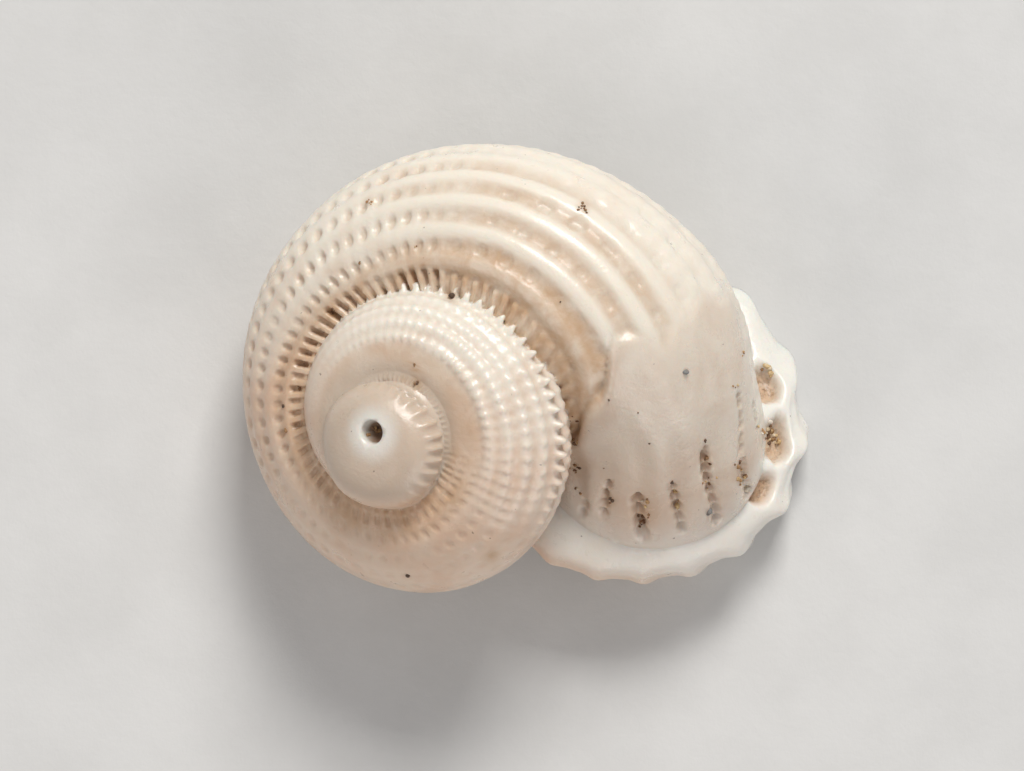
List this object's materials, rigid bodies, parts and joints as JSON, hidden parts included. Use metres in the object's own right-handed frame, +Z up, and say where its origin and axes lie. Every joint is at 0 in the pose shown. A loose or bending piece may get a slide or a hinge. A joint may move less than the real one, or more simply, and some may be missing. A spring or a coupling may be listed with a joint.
{
  "type": "liotia shell",
  "caption": "Small top shell lying on its thick round mouth, with pitted spiral cords, a worn dome and a scalloped rim.",
  "frame": {"origin": "centre of the shell's bounding box on the surface that it rests on, below the body whorl", "axes": "+Z up from the resting surface, +X along the longest extent towards the mouth's outer rim, +Y across it, away from the side where the rim meets the body whorl"},
  "size_m": [0.0121, 0.0096, 0.0066],
  "materials": {
    "shell": "satin"
  },
  "bodies": {
    "root": {"shell": "shell"}
  },
  "joints": []
}
